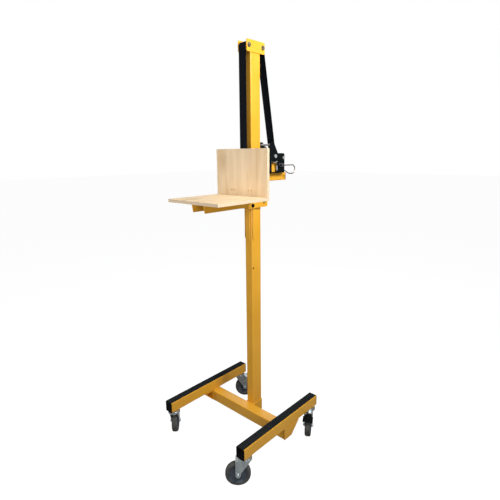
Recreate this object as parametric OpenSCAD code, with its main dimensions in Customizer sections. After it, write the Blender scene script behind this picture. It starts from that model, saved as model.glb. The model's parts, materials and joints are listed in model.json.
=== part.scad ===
// Mobile strap-winch lift for boards and panels: H-shaped base on casters, a fixed mast,
// and a sliding carriage with a plywood platform, raised by a hand winch behind the mast.
// Origin: on the floor, at the middle of the footprint. +Z up, -Y is the platform's side.

/* [Base] */
// Overall length of each side rail, end caps included
rail_len = 606; // [560:2:700]
// Width of the rail tube
rail_w = 50; // [44:1:56]
// Height of the rail tube
rail_h = 60; // [50:1:70]
// Overall width over both rails
base_w = 604; // [540:2:700]
// Height of the rail undersides above the floor
deck_z = 158; // [156:1:162]
// Depth of the crossbeam tube, front to back
beam_d = 60; // [50:1:62]
// Height of the crossbeam tube
beam_h = 65; // [55:1:70]
// Wall of the base tubes
base_wall = 3; // [2:0.5:4]

/* [Mast] */
// Width of the mast tube
mast_w = 50; // [46:1:52]
// Depth of the mast tube
mast_d = 70; // [66:1:72]
// Height of the mast's open end above the floor
mast_top = 2070; // [2060:1:2072]
// Wall of the mast tube
mast_wall = 3; // [2:0.5:4]
// Radius of the cross hole near the middle of the mast
cross_hole_r = 5; // [3:0.5:6]

/* [Head] */
// Height of the two strap rollers' axles
roller_z = 2066; // [2064:1:2068]
// Distance between the two roller axles
roller_pitch = 99; // [99:0.5:104]
// Radius of the strap rollers
roller_r = 14; // [12:0.5:14]

/* [Strap] */
// Width of the lifting strap
strap_w = 48; // [44:1:48]
// Thickness of the lifting strap
strap_t = 2.2; // [1.6:0.2:2.6]

/* [Boards] */
// Width of the plywood platform and back board
board_w = 348; // [300:2:400]
// Depth of the platform, front to back
board_d = 339; // [300:1:360]
// Height of the back board above the platform
back_h = 232; // [150:1:260]
// Thickness of the plywood
ply_t = 15; // [12:1:18]
// Height of the platform's underside
board_z = 1343; // [1340:1:1350]

/* [Carriage] */
// Height of the slider's lower end
slider_low = 1128; // [1100:1:1160]
// Width of each fork
fork_w = 30; // [25:1:35]
// Height of each fork
fork_h = 42; // [36:1:44]

/* [Winch] */
// Teeth on the drum gear
gear_teeth = 57; // [55:1:58]
// Teeth on the pinion
pinion_teeth = 14; // [12:1:15]
// Gear module
gear_m = 2; // [1.9:0.05:2]
// Outer radius of the strap wound on the drum
coil_r = 27; // [20:0.5:28]
// Length of the crank, shaft to grip
crank_len = 150; // [120:1:170]

/* [Casters] */
// Radius of the caster wheels
wheel_r = 62.5; // [60:0.5:62.5]
// Width of the caster wheels
wheel_w = 32; // [26:1:34]
// How far each wheel trails behind its swivel axis
trail = 36; // [30:1:38]
// Headings of the trailing wheels: front right, front left, back right, back left
headings = [-136, 136, -60, 44]; // [-180:1:180]

/* [Hidden] */
$fn = 48;

// Base
rail_back = 259;
rail_front = rail_back - rail_len;
rail_x = base_w / 2 - rail_w / 2;
cap_t = 4;
strip_t = 1.2;
beam_back = 25;
beam_front = beam_back - beam_d;
beam_low = deck_z - beam_h;
plate_t = 5;
gusset_reach = 65;
corner_r = 5;
caster_inset = 36;
swivel_x = [rail_x, -rail_x, rail_x, -rail_x];
swivel_y = [rail_front + caster_inset, rail_front + caster_inset,
            rail_back - caster_inset, rail_back - caster_inset];

// Mast and socket
socket_gap = 0.2;
socket_wall = 2.8;
mast_front = beam_back + socket_wall + socket_gap;
mast_y = mast_front + mast_d / 2;
mast_back = mast_front + mast_d;
socket_floor = 4;
mast_low = beam_low + socket_floor;
cross_hole_y = mast_front + 8;
cross_hole_z = 968;

// Head
head_t = 4;
head_len = 130;
head_h = 54;
head_z = roller_z - 2;
axle_r = 5;
run_fit = 0.05;
front_roller_y = mast_y - roller_pitch / 2;
rear_roller_y = mast_y + roller_pitch / 2;

// Strap: kept a little clear of what it runs over
strap_gap = 0.3;
strap_in = roller_r + strap_gap;
strap_out = strap_in + strap_t;
eye_top = 1445;

// Winch
drum_y = 198;
drum_z = 1551;
mesh_angle = -6.5;
gear_dist = gear_m * (gear_teeth + pinion_teeth) / 2;
crank_y = drum_y + gear_dist * cos(mesh_angle);
crank_z = drum_z + gear_dist * sin(mesh_angle);
bracket_w = 30;
bracket_h = 41;
bracket_top = 1463;
bracket_back = 322;
frame_x = 40;
frame_t = 4;
shaft_r = 8;
crank_shaft_r = 6;
core_r = 14;
ratchet_r = 34;
ratchet_teeth = 24;
pawl_y = 239;
pawl_z = 1505;
pawl_pin_r = 4;
gear_x = -56;
gear_w = 8;
crank_x = -80;
grip_r = 14;
wire_r = 2.8;
gear_slack = 0.12;
loop_x = 43.7;
pawl_x = 28;
loop_start_y = 270;
loop_r = 23;
loop_mid_z = 1480;
loop_bend_y = 344;

// The rear run leaves the rear roller and meets the coil on the same side
run_dy = drum_y - rear_roller_y;
run_dz = roller_z - drum_z;
run_dist = sqrt(run_dy * run_dy + run_dz * run_dz);
coil_gap_r = coil_r + strap_gap;
run_tilt = atan(run_dy / run_dz) + asin((coil_gap_r - strap_in) / run_dist);
run_len = sqrt(run_dist * run_dist - pow(coil_gap_r - strap_in, 2));

// Carriage
pad_gap = 0.3;
side_gap = 2;
slider_t = 3;
slider_high = 1420;
slider_in_x = mast_w / 2 + side_gap;
slider_out_x = slider_in_x + slider_t;
slider_in_y = mast_front - side_gap;
slider_front = slider_in_y - 4;
slider_back = mast_front + 21;
leg_front = mast_front + 3;
tongue_w = 28;
arm_t = 8;
fork_x = slider_out_x + arm_t;
fork_low = board_z - fork_h;
fork_front = -314;
fork_back = 5;
board_back = -9;
board_front = board_back - board_d;
board_top = board_z + ply_t;
board_face = board_back - ply_t;
tongue_h = 5;
screw_sink = 0.3;
guide_r = 11;
guide_y = mast_back + guide_r + 0.4;
guide_z = 1318;
guide_pin_r = 4;
guide_in_x = mast_w / 2 - 7.4;
anchor_pin_r = 5;
anchor_y = front_roller_y - strap_in + anchor_pin_r + strap_gap;
anchor_z = 1392;

// Casters
yoke_low = 138;
yoke_t = 4;
swivel_top = 152;
king_r = 6;
wheel_axle_r = 6;
leg_in = 20;
leg_t = 3;
brake_x = trail + 20;
brake_z = yoke_low - 5;
brake_pin_r = 2.5;

PAINT = "gold";
BLACK = "#15181c";
ZINC = "#a9b2b4";
PLY = "burlywood";

// ---------- shared shapes ----------

// A block between two opposite corners
module block(low, high) {
    translate(low) cube(high - low);
}

// Runs an outline drawn in X and Z from y0 to y1
module along_y(y0, y1) {
    translate([0, y1, 0]) rotate([90, 0, 0]) linear_extrude(y1 - y0) children();
}

// Runs an outline drawn in Y and Z from x0 to x1
module along_x(x0, x1) {
    translate([x0, 0, 0]) rotate([90, 0, 90]) linear_extrude(x1 - x0) children();
}

// A cylinder along X from x0 to x1 at y, z
module rod_x(x0, x1, y, z, r) {
    translate([x0, y, z]) rotate([0, 90, 0]) cylinder(r = r, h = x1 - x0);
}

// A hexagon head or nut along X
module hex_x(x0, x1, y, z, flats) {
    translate([x0, y, z]) rotate([0, 90, 0]) cylinder(r = flats / sqrt(3), h = x1 - x0, $fn = 6);
}

// A rectangle with round corners, centred
module rounded_rect(w, h, r) {
    square([w - 2 * r, h], center = true);
    square([w, h - 2 * r], center = true);
    for (sx = [-1, 1], sy = [-1, 1])
        translate([sx * (w / 2 - r), sy * (h / 2 - r)]) circle(r);
}

module tube_section(w, h, wall, r = corner_r) {
    difference() {
        rounded_rect(w, h, r);
        rounded_rect(w - 2 * wall, h - 2 * wall, max(r - wall, 1));
    }
}

// Mirrors a shape made for the +X side when side is -1
module on_side(side) {
    if (side > 0) children();
    else mirror([1, 0, 0]) children();
}

// ---------- base ----------

module rail(side) {
    color(PAINT) difference() {
        translate([side * rail_x, 0, deck_z + rail_h / 2])
            along_y(rail_front + cap_t, rail_back - cap_t) tube_section(rail_w, rail_h, base_wall);
        for (i = [0, 2])
            translate([side * rail_x, swivel_y[i], deck_z - 1])
                cylinder(r = king_r + 0.2, h = base_wall + 2);
    }
}

module left_rail() { rail(-1); }
module right_rail() { rail(1); }

module crossbeam() {
    color(PAINT)
        translate([0, beam_front + beam_d / 2, deck_z - beam_h / 2])
            along_x(-base_w / 2 + plate_t, base_w / 2 - plate_t) tube_section(beam_d, beam_h, base_wall);
}

// Closes the beam's end and carries a boxed gusset under the rail, sloping up from the beam
module end_plate() {
    wall = 4;
    inset = wall * (1 + sqrt(2));
    color(PAINT) {
        along_x(base_w / 2 - plate_t, base_w / 2)
            polygon([[beam_front, beam_low], [beam_back, beam_low],
                     [beam_back + gusset_reach, deck_z], [beam_front, deck_z]]);
        along_x(base_w / 2 - rail_w, base_w / 2 - plate_t) difference() {
            polygon([[beam_back, beam_low], [beam_back + gusset_reach, deck_z], [beam_back, deck_z]]);
            polygon([[beam_back + wall, beam_low + inset],
                     [beam_back + gusset_reach - inset, deck_z - wall],
                     [beam_back + wall, deck_z - wall]]);
        }
    }
}

// The left one is the same part turned round, so its gusset points forward
module left_end_plate() {
    translate([0, beam_front + beam_back, 0]) rotate([0, 0, 180]) end_plate();
}
module right_end_plate() { end_plate(); }

module grip_strip(side) {
    top = deck_z + rail_h;
    width = rail_w - 6;
    color(BLACK)
        block([side * rail_x - width / 2, rail_front + 1, top],
              [side * rail_x + width / 2, rail_back - 1, top + strip_t]);
}

module left_grip_strip() { grip_strip(-1); }
module right_grip_strip() { grip_strip(1); }

// Plastic caps pressed into the open ends of the rails, the bracket and the mast
module tube_end_caps() {
    plug = 14;
    plug_w = rail_w - 2 * base_wall - 0.6;
    plug_h = rail_h - 2 * base_wall - 0.6;
    color(BLACK) {
        for (sx = [-1, 1]) translate([sx * rail_x, 0, deck_z + rail_h / 2]) {
            along_y(rail_front, rail_front + cap_t) rounded_rect(rail_w, rail_h, corner_r);
            along_y(rail_front + cap_t, rail_front + plug) rounded_rect(plug_w, plug_h, 2);
            along_y(rail_back - cap_t, rail_back) rounded_rect(rail_w, rail_h, corner_r);
            along_y(rail_back - plug, rail_back - cap_t) rounded_rect(plug_w, plug_h, 2);
        }
        translate([0, 0, bracket_top - bracket_h / 2]) {
            along_y(bracket_back - 3, bracket_back) rounded_rect(bracket_w, bracket_h, 3);
            along_y(bracket_back - plug, bracket_back - 3) rounded_rect(bracket_w - 6, bracket_h - 6, 2);
        }
        translate([0, mast_y, mast_top]) {
            linear_extrude(3) rounded_rect(mast_w, mast_d, corner_r);
            translate([0, 0, -plug]) linear_extrude(plug)
                rounded_rect(mast_w - 2 * mast_wall - 0.6, mast_d - 2 * mast_wall - 0.6, 2);
        }
    }
}

// The sleeve behind the crossbeam that holds the foot of the mast
module mast_socket() {
    out_w = mast_w + 2 * socket_gap + 6.6;
    out_d = mast_d + 2 * socket_gap + 2 * socket_wall;
    color(PAINT) difference() {
        translate([0, mast_y, beam_low]) {
            linear_extrude(socket_floor) rounded_rect(out_w, out_d, corner_r);
            translate([0, 0, socket_floor]) linear_extrude(beam_h - socket_floor) difference() {
                rounded_rect(out_w, out_d, corner_r);
                rounded_rect(mast_w + 2 * socket_gap, mast_d + 2 * socket_gap, corner_r);
            }
        }
        for (z = [deck_z - 20, deck_z - 46]) translate([0, mast_back - 2, z])
            rotate([-90, 0, 0]) cylinder(r = 5.2, h = 10);
    }
}

// Two bolts that clamp the mast in its socket from behind
module socket_bolts() {
    face = mast_back + socket_gap + socket_wall;
    color(ZINC) for (z = [deck_z - 20, deck_z - 46]) translate([0, face, z]) rotate([-90, 0, 0]) {
        cylinder(r = 11, h = 2);
        cylinder(r = 17 / sqrt(3), h = 8, $fn = 6);
        translate([0, 0, -12]) cylinder(r = 5, h = 13);
    }
}

// ---------- mast and head ----------

module mast() {
    color(PAINT) difference() {
        translate([0, mast_y, mast_low]) linear_extrude(mast_top - mast_low)
            tube_section(mast_w, mast_d, mast_wall);
        rod_x(-mast_w, mast_w, cross_hole_y, cross_hole_z, cross_hole_r);
        for (z = [deck_z - 20, deck_z - 46]) translate([0, mast_back - 8, z])
            rotate([-90, 0, 0]) cylinder(r = 5.2, h = 10);
    }
}

module head_plate(side) {
    color(PAINT) on_side(side) difference() {
        translate([0, mast_y, head_z]) along_x(mast_w / 2, mast_w / 2 + head_t)
            rounded_rect(head_len, head_h, 8);
        for (y = [front_roller_y, rear_roller_y])
            rod_x(mast_w / 2 - 1, mast_w / 2 + head_t + 1, y, roller_z, axle_r + run_fit);
    }
}

module left_head_plate() { head_plate(-1); }
module right_head_plate() { head_plate(1); }

// The rollers' axle bolts, nut on the left
module head_axles() {
    out = mast_w / 2 + head_t;
    color(ZINC) for (y = [front_roller_y, rear_roller_y]) {
        rod_x(-out - 10, out, y, roller_z, axle_r);
        hex_x(out, out + 6, y, roller_z, 16);
        hex_x(-out - 8, -out, y, roller_z, 16);
    }
}

module head_roller(y) {
    length = mast_w - 1;
    color(BLACK) difference() {
        rod_x(-length / 2, length / 2, y, roller_z, roller_r);
        rod_x(-length, length, y, roller_z, axle_r + run_fit);
    }
}

module front_head_roller() { head_roller(front_roller_y); }
module rear_head_roller() { head_roller(rear_roller_y); }

// ---------- strap ----------

// Points round a centre, from one angle to another, anticlockwise seen from +X
function arc(y, z, r, from, to, steps = 9) =
    [for (i = [0 : steps]) let (a = from + (to - from) * i / steps) [y + r * cos(a), z + r * sin(a)]];

// One face of the strap over both rollers and down to the drum, at radius r from the axles
function rear_run_face(r) = concat(
    arc(front_roller_y, roller_z, r, 180, 90),
    arc(rear_roller_y, roller_z, r, 90, run_tilt),
    [[rear_roller_y + r * cos(run_tilt) + run_len * sin(run_tilt),
      roller_z + r * sin(run_tilt) - run_len * cos(run_tilt)]]);

function reversed(path) = [for (i = [len(path) - 1 : -1 : 0]) path[i]];

module strap_rear_run() {
    color(BLACK) along_x(-strap_w / 2, strap_w / 2)
        polygon(concat(rear_run_face(strap_out), reversed(rear_run_face(strap_in))));
}

// The strap's straight front run, from the front roller down to the carriage
module strap_front_run() {
    color(BLACK) block([-strap_w / 2, front_roller_y - strap_out, eye_top],
                       [strap_w / 2, front_roller_y - strap_in, roller_z]);
}

// The strap's sewn end round the anchor pin
module strap_eye() {
    y_in = front_roller_y - strap_in;
    eye_in = anchor_pin_r + strap_gap;
    eye_out = eye_in + strap_t;
    color(BLACK) along_x(-strap_w / 2, strap_w / 2) difference() {
        polygon(concat([[y_in, eye_top], [y_in - strap_t, eye_top]],
                       arc(anchor_y, anchor_z, eye_out, 180, 390, 16),
                       [[y_in + strap_t, anchor_z + 24],
                        [y_in + strap_t, eye_top - 6], [y_in, eye_top - 6]]));
        polygon(concat(arc(anchor_y, anchor_z, eye_in, 180, 390, 16), [[y_in, anchor_z + 20]]));
    }
}

module anchor_pin() {
    color(ZINC) {
        rod_x(-29.7, 28, anchor_y, anchor_z, anchor_pin_r);
        rod_x(28, 29.7, anchor_y, anchor_z, 8);
    }
}

// Two ears welded to the slider's web, holding the anchor pin
module strap_anchor() {
    ear_x = strap_w / 2 + 0.8;
    color(PAINT) for (side = [-1, 1]) on_side(side) difference() {
        along_x(ear_x, ear_x + 3)
            polygon([[anchor_y - 9, anchor_z - 9], [slider_front, anchor_z - 24],
                     [slider_front, anchor_z + 24], [anchor_y - 9, anchor_z + 9]]);
        rod_x(ear_x - 1, ear_x + 5, anchor_y, anchor_z, anchor_pin_r + run_fit);
    }
}

// ---------- carriage ----------

module channel_section(out_x, in_x, y_front, y_in, y_back) {
    polygon([[-out_x, y_front], [out_x, y_front], [out_x, y_back], [in_x, y_back],
             [in_x, y_in], [-in_x, y_in], [-in_x, y_back], [-out_x, y_back]]);
}

// The channel that slides on the front of the mast, with a tongue and two legs below it
module slider_channel() {
    channel_low = fork_low - 9;
    color(PAINT) {
        translate([0, 0, channel_low]) linear_extrude(slider_high - channel_low)
            channel_section(slider_out_x, slider_in_x, slider_front, slider_in_y, slider_back);
        block([-tongue_w / 2, slider_front, slider_low], [tongue_w / 2, slider_in_y, channel_low + 10]);
        for (side = [-1, 1]) on_side(side)
            block([slider_in_x, leg_front, slider_low], [slider_out_x, slider_back, channel_low + 10]);
    }
}

// Plastic liners: one inside the channel, and one on the tongue and each leg
module glide_pads() {
    pad_h = 45;
    pad_x = mast_w / 2 + pad_gap;
    pad_low = slider_low + 8;
    color("white") {
        translate([0, 0, slider_high - pad_h - 8]) linear_extrude(pad_h)
            channel_section(slider_in_x, pad_x, slider_in_y, mast_front - pad_gap, slider_back - 2);
        block([-tongue_w / 2, slider_in_y, pad_low], [tongue_w / 2, mast_front - pad_gap, pad_low + pad_h]);
        for (side = [-1, 1]) on_side(side)
            block([pad_x, leg_front, pad_low], [slider_in_x, slider_back - 2, pad_low + pad_h]);
    }
}

// Arm that reaches back past the mast to the guide roller
module arm_plate(side) {
    low = fork_low - 9;
    color(PAINT) on_side(side) difference() {
        along_x(slider_out_x, slider_out_x + arm_t)
            polygon([[-62, fork_low], [-30, fork_low], [-14, low], [132, low], [138, low + 6],
                     [138, board_z - 15], [123, board_z], [66, board_z], [slider_back, slider_high - 8],
                     [slider_front, slider_high - 8], [slider_front, board_z], [-62, board_z]]);
        rod_x(slider_out_x - 1, fork_x + 1, guide_y, guide_z, guide_pin_r + run_fit);
    }
}

module left_arm_plate() { arm_plate(-1); }
module right_arm_plate() { arm_plate(1); }

// Steel angle along the arm, its flange outwards under the platform
module fork(side) {
    wall = 5;
    color(PAINT) difference() {
        on_side(side) {
            along_x(fork_x, fork_x + wall)
                polygon([[fork_front, board_z], [fork_front + 8, fork_low],
                         [fork_back, fork_low], [fork_back, board_z]]);
            block([fork_x, fork_front, board_z - wall], [fork_x + fork_w, fork_back, board_z]);
        }
        at_platform_screws() screw_hole();
    }
}

module left_fork() { fork(-1); }
module right_fork() { fork(1); }

module guide_axles() {
    color(ZINC) for (side = [-1, 1]) on_side(side) {
        rod_x(guide_in_x - 1.4, fork_x, guide_y, guide_z, guide_pin_r);
        hex_x(fork_x, fork_x + 6, guide_y, guide_z, 13);
        rod_x(guide_in_x - 1.8, guide_in_x - 0.4, guide_y, guide_z, 6);
        rod_x(mast_w / 2 + 0.3, slider_out_x, guide_y, guide_z, 7);
    }
}

module guide_roller(side) {
    color(BLACK) on_side(side) difference() {
        rod_x(guide_in_x, mast_w / 2, guide_y, guide_z, guide_r);
        rod_x(guide_in_x - 1, mast_w / 2 + 1, guide_y, guide_z, guide_pin_r + run_fit);
    }
}

module left_guide_roller() { guide_roller(-1); }
module right_guide_roller() { guide_roller(1); }

// Countersunk screw pointing down -Z, its head's top at the origin
module screw() {
    translate([0, 0, -3]) cylinder(r1 = 2, r2 = 5, h = 3);
    translate([0, 0, -20]) cylinder(r = 2, h = 17.5);
}

// The hole it sits in, open upwards
module screw_hole() {
    screw();
    cylinder(r = 5, h = 1);
}

// Four places on the platform, over the forks
module at_platform_screws() {
    for (sx = [-1, 1], y = [fork_front + 40, -70])
        translate([sx * (fork_x + fork_w / 2), y, board_top - screw_sink]) children();
}

// Four places on the back board, in front of its cleats, pointing back
module at_back_screws() {
    for (sx = [-1, 1], dx = [20, 38])
        translate([sx * (slider_out_x + dx), board_face + screw_sink, board_top + 29])
            rotate([90, 0, 0]) children();
}

// The platform, with a rebate along its rear edge for the back board's tongue
module platform_board() {
    color(PLY) difference() {
        block([-board_w / 2, board_front, board_z], [board_w / 2, board_back, board_top]);
        block([-board_w / 2 - 1, board_face, board_top - tongue_h],
              [board_w / 2 + 1, board_back + 1, board_top + 1]);
        at_platform_screws() screw_hole();
    }
}

module back_board() {
    color(PLY) difference() {
        union() {
            block([-board_w / 2, board_face, board_top], [board_w / 2, board_back, board_top + back_h]);
            block([-board_w / 2, board_face + 0.5, board_top - tongue_h],
                  [board_w / 2, board_back, board_top]);
        }
        at_back_screws() screw_hole();
    }
}

// Cleats that tie the back board to the arms
module board_brackets() {
    low = board_top + 12;
    color(PAINT) difference() {
        for (side = [-1, 1]) on_side(side) {
            block([slider_out_x, board_back + 4, low], [slider_out_x + 5, slider_front, low + 34]);
            block([slider_out_x, board_back, low], [slider_out_x + 46, board_back + 4, low + 34]);
        }
        at_back_screws() screw_hole();
    }
}

// Four screws hold the platform to the forks and four hold the back board to its cleats
module board_screws() {
    color(ZINC) {
        at_platform_screws() screw();
        at_back_screws() screw();
    }
}

// ---------- winch ----------

// Stub tube welded to the back of the mast
module winch_bracket() {
    color(PAINT) translate([0, 0, bracket_top - bracket_h / 2])
        along_y(mast_back, bracket_back - 3) tube_section(bracket_w, bracket_h, 2.5, 3);
}

// Upright between the winch's side plates
module winch_post() {
    color(PAINT) translate([0, 224, bracket_top + 5]) linear_extrude(48)
        tube_section(bracket_w, 42, 2.5, 3);
}

// Folded frame: a base on the bracket and two side plates with a raised ear in front
module winch_frame() {
    front = 150;
    back = 279;
    top = 1567;
    color(BLACK) difference() {
        union() {
            block([-frame_x, front, bracket_top], [frame_x, back, bracket_top + 5]);
            for (side = [-1, 1]) on_side(side) along_x(frame_x - frame_t, frame_x)
                polygon([[front, bracket_top], [back, bracket_top], [back, top - 8], [back - 8, top],
                         [222, top], [187, 1624], [165, 1624], [front, 1600]]);
        }
        rod_x(-frame_x - 1, frame_x + 1, drum_y, drum_z, shaft_r + run_fit);
        rod_x(-frame_x - 1, frame_x + 1, crank_y, crank_z, crank_shaft_r + run_fit);
        rod_x(0, frame_x + 1, pawl_y, pawl_z, pawl_pin_r + run_fit);
        block([-frame_x - 1, 168, bracket_top + 6], [frame_x + 1, 221, bracket_top + 61]);
        for (y = [164, 262]) translate([0, y, bracket_top - 1]) cylinder(r = 5.2, h = 7);
    }
}

// Bolts through the base into the bracket, and the tie bar across the ears
module winch_bolts() {
    color(ZINC) {
        for (y = [164, 262]) translate([0, y, bracket_top + 5]) {
            cylinder(r = 17 / sqrt(3), h = 7, $fn = 6);
            translate([0, 0, -4.5]) cylinder(r = 5, h = 5);
        }
        rod_x(-frame_x + frame_t, frame_x - frame_t, 171, 1610, 5);
    }
}

// Shaft, core and strap flanges, with the nut on the right
module drum() {
    color(ZINC) {
        rod_x(gear_x - 4, frame_x + 6, drum_y, drum_z, shaft_r);
        rod_x(-frame_x + frame_t + 0.5, frame_x - frame_t - 0.5, drum_y, drum_z, core_r);
        for (x = [-27, 25]) rod_x(x, x + 2, drum_y, drum_z, 32);
        rod_x(frame_x + 0.4, frame_x + 6, drum_y, drum_z, 9.5);
    }
}

// Turns of strap on the core
module strap_coil() {
    color(BLACK) difference() {
        rod_x(-strap_w / 2, strap_w / 2, drum_y, drum_z, coil_r);
        rod_x(-strap_w, strap_w, drum_y, drum_z, core_r + run_fit);
    }
}

module ratchet_wheel() {
    step = 360 / ratchet_teeth;
    root = ratchet_r - 4;
    color(ZINC) difference() {
        translate([0, drum_y, drum_z]) along_x(pawl_x, pawl_x + 6)
            polygon([for (i = [0 : ratchet_teeth - 1], p = [0, 1])
                p == 0 ? [root * cos(i * step), root * sin(i * step)]
                       : [ratchet_r * cos((i + 0.85) * step), ratchet_r * sin((i + 0.85) * step)]]);
        rod_x(20, 40, drum_y, drum_z, core_r + run_fit);
    }
}

// Involute teeth: a flank's angle from the tooth's middle at radius r, and a point in polar form
function involute(a) = tan(a) - a * PI / 180;
function flank(r, teeth) =
    let (pitch_r = gear_m * teeth / 2, a = acos(min(1, pitch_r * cos(20) / r)))
    (PI / (2 * teeth) - gear_slack / pitch_r + involute(20) - involute(a)) * 180 / PI;
function polar(r, a) = [r * cos(a), r * sin(a)];

module gear_outline(teeth) {
    pitch_r = gear_m * teeth / 2;
    root_r = pitch_r - 1.25 * gear_m;
    low_r = max(root_r + 0.3, pitch_r * cos(20));
    tip_r = pitch_r + 0.95 * gear_m;
    radii = [root_r, low_r, (low_r + pitch_r) / 2, pitch_r, tip_r];
    polygon([for (i = [0 : teeth - 1], k = [0 : 9])
        let (r = radii[k < 5 ? k : 9 - k], half = flank(max(r, low_r), teeth), side = k < 5 ? -1 : 1)
        polar(r, i * 360 / teeth + side * half)]);
}

module drum_gear() {
    color(ZINC) difference() {
        translate([0, drum_y, drum_z]) rotate([mesh_angle, 0, 0])
            along_x(gear_x, gear_x + gear_w) gear_outline(gear_teeth);
        rod_x(gear_x - 1, gear_x + gear_w + 1, drum_y, drum_z, shaft_r + run_fit);
        for (a = [30 : 60 : 330])
            rod_x(gear_x - 1, gear_x + gear_w + 1, drum_y + 34 * cos(a), drum_z + 34 * sin(a), 10);
    }
}

module pinion() {
    color(ZINC) difference() {
        translate([0, crank_y, crank_z]) rotate([mesh_angle + 180 + 180 / pinion_teeth, 0, 0])
            along_x(gear_x - 1, gear_x + gear_w + 1) gear_outline(pinion_teeth);
        rod_x(gear_x - 2, gear_x + gear_w + 2, crank_y, crank_z, crank_shaft_r + run_fit);
    }
}

module crank_shaft() {
    color(ZINC) {
        rod_x(crank_x + 8, frame_x + 6, crank_y, crank_z, crank_shaft_r);
        rod_x(frame_x + 0.4, frame_x + 6, crank_y, crank_z, 8);
        rod_x(gear_x + gear_w + 1.2, -frame_x - 0.4, crank_y, crank_z, 9);
    }
}

// Flat arm hanging from the shaft, with the grip's pin
module crank_arm() {
    grip_z = crank_z - crank_len;
    color(BLACK) {
        along_x(crank_x, crank_x + 8) {
            translate([crank_y, crank_z]) circle(15);
            translate([crank_y - 12, grip_z]) square([24, crank_len]);
            translate([crank_y, grip_z]) circle(12);
        }
        hex_x(crank_x - 7, crank_x, crank_y, crank_z, 17);
        rod_x(crank_x - 106, crank_x, crank_y, grip_z, 5);
        rod_x(crank_x - 110, crank_x - 106, crank_y, grip_z, 9);
    }
}

module crank_grip() {
    grip_z = crank_z - crank_len;
    color(BLACK) difference() {
        translate([crank_x - 2, crank_y, grip_z]) rotate([0, -90, 0]) rotate_extrude()
            polygon([[0, 0], [grip_r - 2, 0], [grip_r, 3], [grip_r - 1.5, 30], [grip_r - 0.5, 60],
                     [grip_r + 1, 92], [grip_r - 1, 102], [0, 102]]);
        rod_x(crank_x - 120, crank_x, crank_y, grip_z, 5 + run_fit);
    }
}

// Catch on a pin through the right plate: a finger at the ratchet, a tail, and a lug outside
module pawl() {
    color(ZINC) {
        rod_x(22, 48, pawl_y, pawl_z, pawl_pin_r);
        along_x(pawl_x, pawl_x + 6) difference() {
            union() {
                translate([pawl_y, pawl_z]) circle(9);
                polygon([[pawl_y - 3, pawl_z - 8], [pawl_y + 4, pawl_z + 8], [pawl_y - 20, pawl_z + 17],
                         [pawl_y - 26, pawl_z + 14.5], [pawl_y - 22, pawl_z + 6]]);
                polygon([[pawl_y - 6, pawl_z - 6], [pawl_y + 22, pawl_z - 35], [pawl_y + 33, pawl_z - 35],
                         [pawl_y + 33, pawl_z - 24], [pawl_y + 7, pawl_z + 5]]);
            }
            translate([pawl_y, pawl_z]) circle(pawl_pin_r);
        }
        along_x(frame_x + 0.6, loop_x + wire_r) difference() {
            union() {
                translate([pawl_y, pawl_z]) circle(9);
                translate([pawl_y, pawl_z - 9]) square([loop_start_y - pawl_y, 18]);
            }
            translate([pawl_y, pawl_z]) circle(pawl_pin_r);
        }
    }
}

// Wire handle: a rounded loop that runs from the outer lug to the pawl's tail
LOOP_PATH = concat(
    [[loop_x, loop_start_y, loop_mid_z + loop_r]],
    [for (a = [90 : -15 : -90])
        [loop_x, loop_bend_y + loop_r * cos(a), loop_mid_z + loop_r * sin(a)]],
    [[loop_x, 316, 1458], [loop_x, 294, 1466], [loop_x - 1, 288, 1470], [loop_x - 4, 285.5, 1473],
     [loop_x - 9, 284.5, 1474.5], [loop_x - 12, 281.5, 1475], [loop_x - 12.7, 278, 1475],
     [loop_x - 12.7, pawl_y + 33, 1475]]);

function unit(v) = v / norm(v);
function heading(path, i) =
    unit(path[min(i + 1, len(path) - 1)] - path[max(i - 1, 0)]);

// A round wire through the points of a path
module swept_wire(path, r, sides = 10) {
    away = [1, -0.35, 0.8];
    n = len(path);
    rings = [for (i = [0 : n - 1])
        let (t = heading(path, i), u = unit(cross(t, away)), v = cross(t, u))
        for (k = [0 : sides - 1]) path[i] + r * (cos(k * 360 / sides) * u + sin(k * 360 / sides) * v)];
    walls = [for (i = [0 : n - 2], k = [0 : sides - 1])
        let (a = i * sides + k, b = i * sides + (k + 1) % sides)
        [a, b, b + sides, a + sides]];
    polyhedron(rings, concat(walls, [[for (k = [sides - 1 : -1 : 0]) k]],
                             [[for (k = [0 : sides - 1]) (n - 1) * sides + k]]));
}

module pull_loop() {
    color(ZINC) swept_wire(LOOP_PATH, wire_r);
}

// ---------- casters ----------

// Places a caster drawn with its swivel axis at the origin and its wheel trailing along +X
module at_caster(i) {
    translate([swivel_x[i], swivel_y[i], 0]) rotate([0, 0, headings[i]]) children();
}

// Fixed washers and kingpin bolts, with the swivel nuts below
module caster_bolts() {
    color(ZINC) for (i = [0 : 3]) at_caster(i) {
        translate([0, 0, swivel_top + 0.4]) cylinder(r = 31, h = deck_z - swivel_top - 0.4);
        translate([0, 0, yoke_low - 10]) cylinder(r = king_r, h = deck_z + 12 - yoke_low + 10);
        translate([0, 0, yoke_low - 10]) cylinder(r = 11, h = 9.7);
        translate([0, 0, deck_z + base_wall]) cylinder(r = 19 / sqrt(3), h = 9, $fn = 6);
    }
}

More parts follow.
